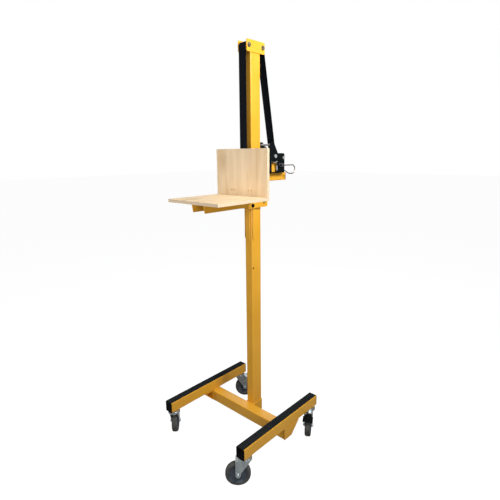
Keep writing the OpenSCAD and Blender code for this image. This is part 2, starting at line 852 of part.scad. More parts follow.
// Swivel head, yoke and two legs, with the wheel's axle bolt
module caster_fork(i) {
    color(ZINC) at_caster(i) {
        difference() {
            union() {
                translate([0, 0, yoke_low + yoke_t]) cylinder(r = 33, h = swivel_top - yoke_low - yoke_t);
                block([-22, -leg_in - leg_t, yoke_low], [trail + 12, leg_in + leg_t, yoke_low + yoke_t]);
            }
            translate([0, 0, yoke_low - 1]) cylinder(r = king_r + run_fit, h = 20);
        }
        for (side = [-1, 1]) mirror([0, side < 0 ? 1 : 0, 0]) difference() {
            along_y(leg_in, leg_in + leg_t) {
                polygon([[-22, yoke_low], [trail + 12, yoke_low], [trail + 12, wheel_r],
                         [trail - 12, wheel_r], [trail - 14, wheel_r + 12]]);
                translate([trail, wheel_r]) circle(12);
            }
            translate([trail, 0, wheel_r]) rotate([-90, 0, 0]) cylinder(r = wheel_axle_r, h = 40);
        }
        translate([trail, -leg_in - leg_t - 2, wheel_r]) rotate([-90, 0, 0])
            cylinder(r = wheel_axle_r, h = 2 * (leg_in + leg_t) + 4);
        if (i >= 2) {
            for (y = [-leg_in - leg_t, leg_in]) along_y(y, y + leg_t)
                polygon([[trail + 12, brake_z - 7], [brake_x + 6, brake_z - 7],
                         [brake_x + 6, yoke_low + yoke_t], [trail + 12, yoke_low + yoke_t]]);
            translate([brake_x, -leg_in, brake_z]) rotate([-90, 0, 0])
                cylinder(r = brake_pin_r, h = 2 * leg_in);
        }
        for (side = [-1, 1]) mirror([0, side < 0 ? 1 : 0, 0])
            translate([trail, leg_in + leg_t, wheel_r]) rotate([-90, 0, 0])
                difference() {
                    cylinder(r = 15 / sqrt(3), h = 6, $fn = 6);
                    cylinder(r = wheel_axle_r, h = 2);
                }
    }
}

module front_right_fork() { caster_fork(0); }
module front_left_fork() { caster_fork(1); }
module back_right_fork() { caster_fork(2); }
module back_left_fork() { caster_fork(3); }

// Wheel turned about its axle: tread, dished sides and a boss
module caster_wheel(i) {
    h = wheel_w / 2;
    r = wheel_r;
    color("#4b5055") at_caster(i) translate([trail, 0, wheel_r]) rotate([90, 0, 0]) rotate_extrude($fn = 96)
        polygon([[wheel_axle_r + run_fit, -h - 3], [14, -h - 3], [15, -h + 5], [r * 0.7, -h + 6],
                 [r * 0.74, -h + 1], [r - 5, -h], [r - 1.5, -h + 3], [r, -h + 8],
                 [r, h - 8], [r - 1.5, h - 3], [r - 5, h], [r * 0.74, h - 1],
                 [r * 0.7, h - 6], [15, h - 5], [14, h + 3], [wheel_axle_r + run_fit, h + 3]]);
}

module front_right_wheel() { caster_wheel(0); }
module front_left_wheel() { caster_wheel(1); }
module back_right_wheel() { caster_wheel(2); }
module back_left_wheel() { caster_wheel(3); }

// Foot pedal on a pin between the yoke's ears, over the wheel
module caster_brake(i) {
    barrel = leg_in - 0.5;
    half_w = 28;
    color(BLACK) at_caster(i) {
        along_y(-half_w, half_w)
            polygon([[brake_x + 8, brake_z - 6], [brake_x + 40, brake_z - 16],
                     [brake_x + 42, brake_z - 11], [brake_x + 8, brake_z]]);
        along_y(-barrel, barrel) difference() {
            union() {
                translate([brake_x, brake_z]) circle(5.5);
                translate([brake_x, brake_z - 5]) square([9, 6]);
            }
            translate([brake_x, brake_z]) circle(brake_pin_r + run_fit);
        }
    }
}

module back_right_brake() { caster_brake(2); }
module back_left_brake() { caster_brake(3); }

// ---------- nodes ----------

left_rail();
right_rail();
crossbeam();
left_end_plate();
right_end_plate();
left_grip_strip();
right_grip_strip();
tube_end_caps();
mast_socket();
socket_bolts();
mast();
left_head_plate();
right_head_plate();
head_axles();
winch_bracket();
winch_post();
winch_frame();
winch_bolts();
strap_rear_run();
strap_front_run();
caster_bolts();
slider_channel();
left_arm_plate();
right_arm_plate();
left_fork();
right_fork();
glide_pads();
guide_axles();
strap_anchor();
strap_eye();
anchor_pin();
platform_board();
back_board();
board_brackets();
board_screws();
left_guide_roller();
right_guide_roller();
front_head_roller();
rear_head_roller();
drum();
strap_coil();
ratchet_wheel();
drum_gear();
crank_shaft();
pinion();
crank_arm();
crank_grip();
pawl();
pull_loop();
front_right_fork();
front_left_fork();
back_right_fork();
back_left_fork();
front_right_wheel();
front_left_wheel();
back_right_wheel();
back_left_wheel();
back_right_brake();
back_left_brake();
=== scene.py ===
"""Looks of the mobile strap-winch board lift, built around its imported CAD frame.

Places come from the frame: a node's box or a joint's own position. The scene is in metres, and shapes
that are written in millimetres are multiplied by MM.
"""

import json
import math
from collections import namedtuple

import bmesh
import bpy
import numpy as np
from mathutils import Matrix, Vector


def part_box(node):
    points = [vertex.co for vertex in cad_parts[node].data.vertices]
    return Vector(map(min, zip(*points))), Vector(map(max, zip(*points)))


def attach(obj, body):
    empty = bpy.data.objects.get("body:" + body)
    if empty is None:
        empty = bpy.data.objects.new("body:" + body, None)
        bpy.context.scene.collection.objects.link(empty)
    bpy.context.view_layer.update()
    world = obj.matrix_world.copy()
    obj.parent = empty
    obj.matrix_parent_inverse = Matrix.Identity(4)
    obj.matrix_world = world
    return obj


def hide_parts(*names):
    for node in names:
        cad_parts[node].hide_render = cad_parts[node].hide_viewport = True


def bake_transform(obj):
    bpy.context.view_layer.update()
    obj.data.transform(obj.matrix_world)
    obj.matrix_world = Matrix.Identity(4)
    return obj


MM = 0.001
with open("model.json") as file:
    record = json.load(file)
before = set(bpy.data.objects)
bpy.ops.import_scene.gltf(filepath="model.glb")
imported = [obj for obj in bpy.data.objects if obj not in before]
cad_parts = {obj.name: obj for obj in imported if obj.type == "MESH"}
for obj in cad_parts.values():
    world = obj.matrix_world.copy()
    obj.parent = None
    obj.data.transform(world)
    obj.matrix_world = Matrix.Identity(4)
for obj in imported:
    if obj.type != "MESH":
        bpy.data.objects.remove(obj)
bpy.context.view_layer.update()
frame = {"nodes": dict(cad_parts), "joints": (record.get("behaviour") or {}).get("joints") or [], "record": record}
joint_at = {j["name"]: Vector(j["pos_m"]) for j in frame["joints"] if "pos_m" in j}
body_of = {n: b for b, nodes in frame["record"]["behaviour"]["bodies"].items() for n in nodes}
slot_of = {s["node"]: s["material_slot"] for s in frame["record"]["subparts"]}
X, Y, Z = Vector((1, 0, 0)), Vector((0, 1, 0)), Vector((0, 0, 1))
AXES = {"X": X, "Y": Y, "Z": Z}
SIDES = {"left": -X, "right": X}
Box = namedtuple("Box", "low high")


# ---------------------------------------------------------------- camera and light

CAMERA_PLACE = (1.4516, -1.5374, 1.5632)
CAMERA_FORWARD = Vector((-0.6600, 0.7162, -0.2268))
CAMERA_RIGHT = Vector((0.7369, 0.6759, -0.0099))
LENS_MM, SENSOR_MM = 29.64, 36


def place_camera():
    """The camera that sees the lift from the front right, a little above the platform."""
    camera = bpy.data.objects.new("camera", bpy.data.cameras.new("camera"))
    camera_up = CAMERA_RIGHT.cross(CAMERA_FORWARD)
    camera.matrix_world = Matrix((CAMERA_RIGHT, camera_up, -CAMERA_FORWARD)).transposed().to_4x4()
    camera.location = CAMERA_PLACE
    camera.data.lens = LENS_MM
    camera.data.sensor_width = SENSOR_MM
    camera.data.clip_start = 0.02
    bpy.context.scene.collection.objects.link(camera)
    bpy.context.scene.camera = camera


def area_light(name, place, target, size, watts):
    """A soft rectangular light that the camera doesn't see."""
    data = bpy.data.lights.new(name, "AREA")
    data.shape = "RECTANGLE"
    data.size, data.size_y = size
    data.energy = watts
    light = bpy.data.objects.new(name, data)
    light.location = place
    light.rotation_euler = (Vector(target) - Vector(place)).to_track_quat("-Z", "Y").to_euler()
    light.visible_camera = False
    bpy.context.scene.collection.objects.link(light)


LIGHTS = {
    "key": {"place": (1.42, -0.01, 2.50), "target": (0, 0, 1.7), "size": (0.6, 0.6), "watts": 44},
    "side": {"place": (1.50, -0.90, 1.15), "target": (0, 0, 1.3), "size": (0.8, 0.8), "watts": 11},
    "top": {"place": (0.3, -0.9, 3.6), "target": (0, -0.1, 0.6), "size": (2.4, 2.4), "watts": 24},
    "front": {"place": (-0.5, -1.7, 1.45), "target": (0, 0, 1.4), "size": (0.8, 0.6), "watts": 13},
    "rear": {"place": (-1.6, 2.4, 2.2), "target": (0, 0, 1.0), "size": (1.6, 1.6), "watts": 12},
}
# The room's light on the object, and the plain white that only the camera sees behind it.
AMBIENT = 0.115
BACKDROP = 1.0


def seen_and_unseen(tree, output, unseen, seen):
    """Shows one shader to the camera and lights the room with another."""
    mix = tree.nodes.new("ShaderNodeMixShader")
    path = tree.nodes.new("ShaderNodeLightPath")
    tree.links.new(path.outputs["Is Camera Ray"], mix.inputs["Fac"])
    tree.links.new(unseen, mix.inputs[1])
    tree.links.new(seen, mix.inputs[2])
    tree.links.new(mix.outputs["Shader"], tree.nodes[output].inputs["Surface"])


def place_lights():
    """A high key light on the winch's right, broad light from above, and weak fills around."""
    for name, light in LIGHTS.items():
        area_light(name, **light)
    world = bpy.data.worlds.new("studio")
    world.use_nodes = True
    tree = world.node_tree
    ambient = tree.nodes["Background"]
    ambient.inputs["Color"].default_value = (0.94, 0.97, 1.0, 1)
    ambient.inputs["Strength"].default_value = AMBIENT
    backdrop = tree.nodes.new("ShaderNodeBackground")
    backdrop.inputs["Color"].default_value = (1, 1, 1, 1)
    backdrop.inputs["Strength"].default_value = BACKDROP
    seen_and_unseen(tree, "World Output", ambient.outputs[0], backdrop.outputs[0])
    bpy.context.scene.world = world
    bpy.context.scene.view_settings.view_transform = "Standard"


def lay_floor():
    """A plain pale floor that the wheels stand on. It throws back less light than it shows."""
    reach = 30
    corners = [(-reach, -reach, 0), (reach, -reach, 0), (reach, reach, 0), (-reach, reach, 0)]
    mesh = bpy.data.meshes.new("floor")
    mesh.from_pydata(corners, [], [(0, 1, 2, 3)])
    floor = bpy.data.objects.new("floor", mesh)
    shade = Shader("floor", (0.16, 0.16, 0.16), 0.9, Emission_Color=(1, 1, 1, 1), Emission_Strength=0.95)
    dull = shade.node("ShaderNodeBsdfDiffuse", {"Color": (0.28, 0.28, 0.28, 1)})
    seen_and_unseen(shade.tree, "Material Output", dull.outputs[0], shade.surface.outputs[0])
    mesh.materials.append(shade.material)
    bpy.context.scene.collection.objects.link(floor)


# ---------------------------------------------------------------- materials

class Shader:
    """A material, built by short calls. Its patterns are laid out in metres, in the object's own frame."""

    def __init__(self, name, colour, roughness, **sockets):
        self.material = bpy.data.materials.new(name)
        self.material.use_nodes = True
        self.tree = self.material.node_tree
        self.surface = self.tree.nodes["Principled BSDF"]
        self.surface.inputs["Base Color"].default_value = (*colour, 1)
        self.surface.inputs["Roughness"].default_value = roughness
        for socket, value in sockets.items():
            self.surface.inputs[socket.replace("_", " ")].default_value = value
        self.place = self.node("ShaderNodeTexCoord").outputs["Object"]

    def node(self, kind, inputs=None, **settings):
        """Adds a shader node. An input is a plain value or another node's output."""
        made = self.tree.nodes.new(kind)
        for name, value in settings.items():
            setattr(made, name, value)
        for key, value in (inputs or {}).items():
            self.put(made.inputs[key], value)
        return made

    def put(self, socket, value):
        if isinstance(value, bpy.types.NodeSocket):
            self.tree.links.new(value, socket)
        else:
            socket.default_value = value

    def maths(self, operation, a, b=0.0, c=0.0):
        return self.node("ShaderNodeMath", {0: a, 1: b, 2: c}, operation=operation).outputs[0]

    def stretched(self, scale, place=None):
        """The place, with each direction's own scale, so that a pattern runs long one way."""
        return self.node("ShaderNodeMapping", {"Vector": place or self.place, "Scale": scale}).outputs[0]

    def noise(self, scale, detail=3.0, place=None, roughness=0.5, distortion=0.0):
        """Cloudy noise about 0.5, with so many features to the metre."""
        return self.node("ShaderNodeTexNoise", {
            "Vector": place or self.place, "Scale": scale, "Detail": detail,
            "Roughness": roughness, "Distortion": distortion}).outputs["Fac"]

    def spread(self, value, low, high, to_low=0.0, to_high=1.0):
        """A value's range low to high, laid over another range and held in it."""
        return self.node("ShaderNodeMapRange", {
            "Value": value, "From Min": low, "From Max": high,
            "To Min": to_low, "To Max": to_high}).outputs["Result"]

    def mix(self, share, a, b):
        """Colour a with a share of colour b over it."""
        made = self.node("ShaderNodeMix", {0: share}, data_type="RGBA")
        for socket, value in ((made.inputs[6], a), (made.inputs[7], b)):
            self.put(socket, value if isinstance(value, bpy.types.NodeSocket) else (*value, 1))
        return made.outputs[2]

    def colour(self, socket):
        self.put(self.surface.inputs["Base Color"], socket)

    def roughness(self, socket):
        self.put(self.surface.inputs["Roughness"], socket)

    def bump(self, height, depth, strength=1.0, under=None):
        """Raises the surface by height times depth, in metres, on top of another bump."""
        inputs = {"Height": height, "Distance": depth, "Strength": strength}
        if under is not None:
            inputs["Normal"] = under
        made = self.node("ShaderNodeBump", inputs).outputs["Normal"]
        self.put(self.surface.inputs["Normal"], made)
        return made


def painted(name, colour, deep, gloss):
    """Powder coat: two close shades, orange peel, specks of dirt and dull, handled patches."""
    s = Shader(name, colour, 0.4, Specular_IOR_Level=gloss, Coat_Weight=gloss * 0.5, Coat_Roughness=0.09)
    cloud = s.spread(s.noise(5, 4), 0.35, 0.65)
    dirt = s.spread(s.noise(260, 2), 0.66, 0.74)
    handled = s.noise(14, 5)
    shade = s.mix(cloud, colour, deep)
    s.colour(s.mix(s.maths("MULTIPLY", dirt, 0.25), shade, [c * 0.45 for c in deep]))
    s.roughness(s.spread(handled, 0.3, 0.7, 0.30, 0.46))
    waves = s.bump(s.noise(55, 2), 0.4 * MM, 0.35)
    s.bump(s.noise(900, 2), 0.06 * MM, 0.5, waves)
    return s.material


def plated(name, colour, stain, low, high, metal=1.0):
    """Zinc or bare steel: mottled plate with a fine grain, and a roughness from low to high."""
    s = Shader(name, colour, low, Metallic=metal)
    mottle = s.spread(s.noise(70, 5, distortion=0.6), 0.38, 0.66)
    s.colour(s.mix(mottle, colour, stain))
    grain = s.noise(900, 2)
    wear = s.maths("ADD", s.maths("MULTIPLY", grain, 0.4), s.noise(40, 4))
    s.roughness(s.spread(wear, 0.4, 1.0, low, high))
    s.bump(grain, 0.04 * MM, 0.5)
    return s.material


def moulded(name, colour, grey, roughness):
    """Black plastic with a fine moulded grain and paler handling marks."""
    s = Shader(name, colour, roughness, Specular_IOR_Level=0.05)
    s.colour(s.mix(s.spread(s.noise(45, 5), 0.52, 0.78), colour, grey))
    s.roughness(s.spread(s.noise(30, 4), 0.3, 0.7, roughness - 0.08, roughness + 0.12))
    s.bump(s.noise(1400, 2), 0.05 * MM, 0.6)
    return s.material


def gritty(name):
    """Anti-slip tape: mineral grit in dark resin, greyed by dust."""
    s = Shader(name, (0.008, 0.009, 0.010), 0.85, Specular_IOR_Level=0.08)
    grit = s.noise(1300, 2, roughness=0.7)
    dust = s.spread(s.noise(9, 5), 0.35, 0.7)
    base = s.mix(dust, (0.007, 0.009, 0.010), (0.015, 0.017, 0.018))
    s.colour(s.mix(s.spread(grit, 0.56, 0.68), base, (0.055, 0.060, 0.064)))
    s.roughness(s.spread(grit, 0.4, 0.7, 0.95, 0.6))
    s.bump(grit, 0.6 * MM, 0.9)
    return s.material


def woven(name, colour, light):
    """Polyester webbing: plump warp ribs crossed by weft. The weave map runs in metres, along and across."""
    s = Shader(name, colour, 0.72, Specular_IOR_Level=0.10)
    cloth = s.node("ShaderNodeUVMap", uv_map="weave").outputs["UV"]
    parts = s.node("ShaderNodeSeparateXYZ", {"Vector": cloth}).outputs
    rib, pick = 1.7 * MM, 2.6 * MM
    across = s.maths("MULTIPLY", parts["Y"], math.pi / rib)
    row = s.maths("FLOOR", s.maths("DIVIDE", parts["Y"], rib))
    shift = s.maths("MULTIPLY", s.maths("PINGPONG", row, 4.0), math.pi / 4)
    along = s.maths("ADD", s.maths("MULTIPLY", parts["X"], math.pi / pick), shift)
    plump = s.maths("ABSOLUTE", s.maths("SINE", across))
    over = s.maths("ABSOLUTE", s.maths("SINE", along))
    height = s.maths("MULTIPLY", plump, s.maths("ADD", s.maths("MULTIPLY", over, 0.6), 0.4))
    fuzz = s.noise(700, 3)
    # The raised ribs are coloured paler than the hollows between them, broken up by fuzz: a painted highlight on
    # the weave.
    s.colour(s.mix(s.maths("MULTIPLY", height, s.spread(fuzz, 0.35, 0.7)), colour, light))
    s.roughness(s.spread(height, 0, 1, 0.85, 0.6))
    s.bump(s.maths("ADD", height, s.maths("MULTIPLY", fuzz, 0.25)), 0.5 * MM, 0.8)
    return s.material


def veneer(name, grain, seed, knot):
    """A plywood face: long grain along one axis, figure, small knots and one ringed knot at a place."""
    pale, warm, fibre = (0.82, 0.63, 0.40), (0.70, 0.49, 0.27), (0.60, 0.40, 0.21)
    small_knot, big_knot, bleached = (0.40, 0.24, 0.12), (0.50, 0.33, 0.16), (0.82, 0.68, 0.50)
    s = Shader(name, (0.80, 0.62, 0.40), 0.55)

    def with_grain(across, along, place):
        """The place, drawn out along the grain."""
        return s.stretched([along if axis == grain else across for axis in AXES], place)

    shift = (seed, seed * 0.7, seed * 1.3)
    cut = s.node("ShaderNodeMapping", {"Vector": s.place, "Location": shift}).outputs[0]
    figure = s.noise(3.4, 5, with_grain(5.0, 0.42, cut), distortion=2.4)
    fibres = s.noise(110, 3, with_grain(5.0, 0.1, cut))
    shade = s.mix(s.spread(figure, 0.38, 0.68), pale, warm)
    shade = s.mix(s.maths("MULTIPLY", s.spread(fibres, 0.50, 0.72), 0.38), shade, fibre)

    cells = s.node("ShaderNodeTexVoronoi", {
        "Vector": with_grain(1.0, 0.55, cut), "Scale": 8.5, "Randomness": 1.0}).outputs["Distance"]
    dots = s.spread(cells, 0.09, 0.02)
    shade = s.mix(s.maths("MULTIPLY", dots, 0.55), shade, small_knot)

    offset = s.node("ShaderNodeVectorMath", {0: s.place, 1: knot}, operation="SUBTRACT").outputs[0]
    offset = with_grain(1.0, 0.55, offset)
    away = s.node("ShaderNodeVectorMath", {0: offset}, operation="LENGTH").outputs["Value"]
    away = s.maths("ADD", away, s.maths("MULTIPLY", s.noise(26, 3), 22 * MM))
    rings = s.maths("ABSOLUTE", s.maths("SINE", s.maths("MULTIPLY", away, 420)))
    fading = s.spread(away, 58 * MM, 12 * MM)
    shade = s.mix(s.maths("MULTIPLY", fading, s.maths("MULTIPLY_ADD", rings, 0.45, 0.35)), shade, big_knot)

    cloudy = s.spread(s.noise(4.5, 3, cut), 0.40, 0.62)
    s.colour(s.mix(s.maths("MULTIPLY", cloudy, 0.35), shade, bleached))
    s.roughness(s.spread(fibres, 0.3, 0.7, 0.48, 0.68))
    s.bump(fibres, 0.18 * MM, 0.7)
    return s.material


def plies(name, axis, start, thickness, count=9):
    """A plywood edge: plies alternate between pale long grain and darker end grain, with thin glue lines."""
    s = Shader(name, (0.75, 0.60, 0.42), 0.7)
    place = s.node("ShaderNodeSeparateXYZ", {"Vector": s.place}).outputs[axis]
    depth = s.maths("SUBTRACT", place, start)
    wander = s.maths("MULTIPLY", s.maths("SUBTRACT", s.noise(18, 2), 0.5), 0.5)
    layer = s.maths("ADD", s.maths("MULTIPLY", depth, count / thickness), wander)
    other = s.maths("GREATER_THAN", s.maths("MODULO", layer, 2.0), 1.0)
    pores = s.noise(750, 2)
    long_grain = s.mix(s.spread(pores, 0.4, 0.7), (0.80, 0.66, 0.48), (0.72, 0.57, 0.39))
    end_grain = s.mix(s.spread(pores, 0.42, 0.62), (0.66, 0.50, 0.33), (0.50, 0.35, 0.21))
    shade = s.mix(other, long_grain, end_grain)
    glue = s.spread(s.maths("PINGPONG", layer, 0.5), 0.07, 0.02)
    s.colour(s.mix(s.maths("MULTIPLY", glue, 0.6), shade, (0.34, 0.22, 0.13)))
    s.bump(s.maths("ADD", s.maths("MULTIPLY", other, -0.6), pores), 0.3 * MM, 0.7)
    return s.material


def tyre_rubber(name, colour, dusty):
    """Worn rubber: fine grain, dust in patches, and a roughness that wanders."""
    s = Shader(name, colour, 0.75, Specular_IOR_Level=0.35)
    patches = s.spread(s.noise(38, 6), 0.35, 0.68)
    s.colour(s.mix(patches, colour, dusty))
    s.roughness(s.spread(s.noise(60, 4), 0.3, 0.7, 0.62, 0.9))
    s.bump(s.noise(800, 3), 0.12 * MM, 0.7)
    return s.material


def make_materials():
    """Every finish by name. A board's own veneer and plies are made with the board."""
    return {
        "yellow_paint": painted("yellow_paint", (0.80, 0.405, 0.036), (0.74, 0.360, 0.026), 0.45),
        # Near-black brown for the mast's inside and the walls of its holes: bare steel, darkened further as
        # painted shade.
        "raw_steel_and_shade": painted("raw_steel_and_shade", (0.045, 0.032, 0.022), (0.030, 0.020, 0.014), 0.2),
        "black_steel": painted("black_steel", (0.003, 0.0045, 0.005), (0.0055, 0.0075, 0.008), 0.08),
        "black_plastic": moulded("black_plastic", (0.003, 0.003, 0.003), (0.008, 0.008, 0.008), 0.42),
        "grip_tape": gritty("grip_tape"),
        "bolt_zinc": plated("bolt_zinc", (0.86, 0.88, 0.88), (0.66, 0.70, 0.72), 0.35, 0.55, metal=0.7),
        "gold_zinc": plated("gold_zinc", (0.64, 0.42, 0.16), (0.48, 0.31, 0.11), 0.4, 0.6, metal=0.6),
        "dull_zinc": plated("dull_zinc", (0.34, 0.31, 0.22), (0.20, 0.18, 0.13), 0.35, 0.6),
        "zinc": plated("zinc", (0.78, 0.84, 0.85), (0.56, 0.62, 0.65), 0.28, 0.50),
        "grey_steel": plated("grey_steel", (0.46, 0.44, 0.49), (0.33, 0.32, 0.35), 0.35, 0.55),
        "wire": plated("wire", (0.50, 0.42, 0.36), (0.62, 0.56, 0.48), 0.25, 0.45),
        "webbing": woven("webbing", (0.0022, 0.0035, 0.006), (0.008, 0.010, 0.016)),
        # Glide pads in the dark orange-brown of the shade they sit in, between the slider and the mast: painted
        # shade.
        "nylon": moulded("nylon", (0.15, 0.095, 0.030), (0.20, 0.130, 0.045), 0.5),
        "tyre": tyre_rubber("tyre", (0.058, 0.061, 0.059), (0.098, 0.098, 0.090)),
        "core": tyre_rubber("core", (0.058, 0.072, 0.098), (0.090, 0.104, 0.125)),
    }


# ---------------------------------------------------------------- shapes

def box_mm(node):
    """A node's box in millimetres."""
    low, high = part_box(node)
    return Box(low / MM, high / MM)


def centre(node):
    low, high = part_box(node)
    return (low + high) / 2


def piece(name, mesh, body, slot, materials, stands_for=()):
    """Puts a mesh in the scene, with its finish and the nodes that it stands for. It rides on its body.
    With no body, it is attached to none."""
    made = bpy.data.objects.new(name, mesh)
    bpy.context.scene.collection.objects.link(made)
    for material in materials:
        mesh.materials.append(material)
    if body:
        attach(made, body)
    if stands_for:
        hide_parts(*stands_for)
    return made


def as_mesh(name, bm, sharp=35):
    """A mesh from bm, smooth except across edges sharper than so many degrees."""
    bmesh.ops.recalc_face_normals(bm, faces=bm.faces)
    mesh = bpy.data.meshes.new(name)
    bm.to_mesh(mesh)
    bm.free()
    mesh.shade_smooth()
    mesh.set_sharp_from_angle(angle=math.radians(sharp))
    return mesh


def sharp_edges(bm, degrees):
    limit = math.radians(degrees)
    return [e for e in bm.edges if len(e.link_faces) == 2 and e.calc_face_angle(0) > limit]


def round_edges(bm, width):
    bmesh.ops.bevel(bm, geom=sharp_edges(bm, 32), offset=width, segments=2, profile=0.6,
                    affect="EDGES", clamp_overlap=True)


def cad_shape(node):
    """A CAD node's own shape as an editable copy, with its flat faces whole again."""
    bm = bmesh.new()
    bm.from_mesh(frame["nodes"][node].data)
    bmesh.ops.remove_doubles(bm, verts=bm.verts, dist=1e-6)
    bmesh.ops.dissolve_limit(bm, angle_limit=math.radians(0.5), verts=bm.verts, edges=bm.edges)
    for layer in list(bm.loops.layers.uv.values()):
        bm.loops.layers.uv.remove(layer)
    return bm


def with_even_normals(made):
    """Keeps flat faces flat beside their rounded edges."""
    made.modifiers.new("even", "WEIGHTED_NORMAL").keep_sharp = True
    graph = bpy.context.evaluated_depsgraph_get()
    mesh = bpy.data.meshes.new_from_object(made.evaluated_get(graph))
    made.modifiers.clear()
    made.data = mesh


def refine(node, materials, width, reshape=None):
    """The CAD node's shape with rounded edges, in place of the node."""
    name = node + "_look"
    bm = cad_shape(node)
    if reshape:
        reshape(bm)
    round_edges(bm, width)
    with_even_normals(piece(name, as_mesh(name, bm), body_of[node], slot_of[node], materials, [node]))


def lathe(name, profile, middle, axis, steps=64, sharp=35):
    """A closed ring of (radius, offset along the axis) points turned about an axis."""
    turn = Vector(axis).normalized().to_track_quat("Z", "Y").to_matrix()
    bm = bmesh.new()
    rings = []
    for i in range(steps):
        a = 2 * math.pi * i / steps
        rings.append([bm.verts.new(Vector(middle) + turn @ Vector((r * math.cos(a), r * math.sin(a), h)))
                      for r, h in profile])
    for i in range(steps):
        here, there = rings[i], rings[(i + 1) % steps]
        for k in range(len(profile)):
            j = (k + 1) % len(profile)
            bm.faces.new((here[k], there[k], there[j], here[j]))
    bmesh.ops.remove_doubles(bm, verts=bm.verts, dist=1e-7)
    return as_mesh(name, bm, sharp)


def sweep_into(bm, path, section, side=None, uv=None):
    """Carries a closed section along a path and turns it as little as the path lets it. section(i) gives
    the points at path point i, and side is the section's first direction at the start."""
    path = [Vector(p) for p in path]
    last = len(path) - 1
    tangents = [(path[min(i + 1, last)] - path[max(i - 1, 0)]).normalized() for i in range(last + 1)]
    sections = [section(i) for i in range(last + 1)]
    first = Vector(side) if side is not None else tangents[0].orthogonal().normalized()
    rings = []
    for point, tangent, outline in zip(path, tangents, sections):
        first = (first - first.dot(tangent) * tangent).normalized()
        second = tangent.cross(first)
        rings.append([bm.verts.new(point + a * first + b * second) for a, b in outline])
    lengths = [0.0]
    for a, b in zip(path, path[1:]):
        lengths.append(lengths[-1] + (b - a).length)
    n = len(rings[0])
    for i in range(last):
        for k in range(n):
            j = (k + 1) % n
            face = bm.faces.new((rings[i][k], rings[i][j], rings[i + 1][j], rings[i + 1][k]))
            if uv is not None:
                start, end, near, far = lengths[i], lengths[i + 1], sections[i][k][0], sections[i][j][0]
                for loop, place in zip(face.loops, ((start, near), (start, far), (end, far), (end, near))):
                    loop[uv].uv = place
    bm.faces.new(list(reversed(rings[0])))
    bm.faces.new(rings[-1])


def circle_points(radius, sides):
    turns = [2 * math.pi * k / sides for k in range(sides)]
    return [(radius * math.cos(a), radius * math.sin(a)) for a in turns]


def wall_into(bm, a, b):
    """Faces between two rings that have as many vertices as each other."""
    for k in range(len(a)):
        j = (k + 1) % len(a)
        bm.faces.new((a[k], a[j], b[j], b[k]))


def to_metres(profile):
    """A lathe profile's (radius, offset) points, from millimetres."""
    return [(r * MM, h * MM) for r, h in profile]


# ---------------------------------------------------------------- CAD nodes with eased edges

# How wide each node's edges are rounded, in mm.
EDGE_WIDTHS = {
    "left_rail": 0.5, "right_rail": 0.5, "crossbeam": 0.5, "left_end_plate": 1.2, "right_end_plate": 1.2,
    "left_grip_strip": 0.4, "right_grip_strip": 0.4, "tube_end_caps": 0.8, "mast_socket": 0.7,
    "socket_bolts": 0.6, "mast": 0.5, "left_head_plate": 0.8, "right_head_plate": 0.8, "head_axles": 0.6,
    "winch_bracket": 0.5, "winch_post": 0.5, "winch_frame": 0.8, "winch_bolts": 0.5, "caster_bolts": 0.6,
    "slider_channel": 0.7, "left_arm_plate": 1.0, "right_arm_plate": 1.0, "left_fork": 0.8,
    "right_fork": 0.8, "glide_pads": 0.5, "guide_axles": 0.5, "strap_anchor": 0.8, "anchor_pin": 0.5,
    "board_brackets": 0.8, "left_guide_roller": 0.7, "right_guide_roller": 0.7, "front_head_roller": 0.8,
    "rear_head_roller": 0.8, "drum": 0.5, "ratchet_wheel": 0.4, "drum_gear": 0.3, "crank_shaft": 0.5,
    "pinion": 0.3, "crank_arm": 0.8, "pawl": 0.6, "front_right_fork": 0.8, "front_left_fork": 0.8,
    "back_right_fork": 0.8, "back_left_fork": 0.8, "back_right_brake": 0.8, "back_left_brake": 0.8,
}
# The upper face of every caster's yoke.
YOKE_TOP = 142 * MM


def recess_caps(bm):
    """Sinks the middle of each cap's outer face a little inside a rim."""
    least_area = 700 * MM * MM
    faces = [f for f in bm.faces if f.calc_area() > least_area and max(f.normal.z, abs(f.normal.y)) > 0.9]
    bmesh.ops.inset_individual(bm, faces=faces, thickness=5 * MM, depth=0)
    bmesh.ops.inset_individual(bm, faces=faces, thickness=1.2 * MM, depth=-0.9 * MM)


def bend_yoke(bm):
    """Rounds a caster yoke over into its legs, as folded plate is."""
    edges = [e for e in sharp_edges(bm, 60) if e.calc_length() > 50 * MM
             and all(abs(v.co.z - YOKE_TOP) < 0.1 * MM for v in e.verts)]
    bmesh.ops.bevel(bm, geom=edges, offset=3 * MM, segments=4, profile=0.5, affect="EDGES")


def bare_and_shaded_inside(bm):
    """Marks a tube's inner faces and the small faces of its holes for the second material, a near-black bare steel
    that paints shade into the tube and its holes.
    """
    hole_face = 60 * MM * MM
    middle = sum((v.co for v in bm.verts), Vector()) / len(bm.verts)
    for f in bm.faces:
        outward = (f.calc_center_median() - middle) * Vector((1, 1, 0))
        if outward.dot(f.normal) < -1 * MM or f.calc_area() < hole_face:
            f.material_index = 1


def refine_cad_nodes(finish):
    """Every steel and plastic node, in its slot's finish or one of its own."""
    shaping = {"tube_end_caps": recess_caps, "mast": bare_and_shaded_inside}
    for place in ("front_right", "front_left", "back_right", "back_left"):
        shaping[place + "_fork"] = bend_yoke
    special = {
        "mast": ["yellow_paint", "raw_steel_and_shade"], "head_axles": ["dull_zinc"], "guide_axles": ["gold_zinc"],
        "winch_bolts": ["bolt_zinc"], "crank_shaft": ["bolt_zinc"], "drum": ["bolt_zinc"],
    }
    for node, width in EDGE_WIDTHS.items():
        materials = [finish[m] for m in special.get(node, [slot_of[node]])]
        refine(node, materials, width * MM, shaping.get(node))


# ---------------------------------------------------------------- strap

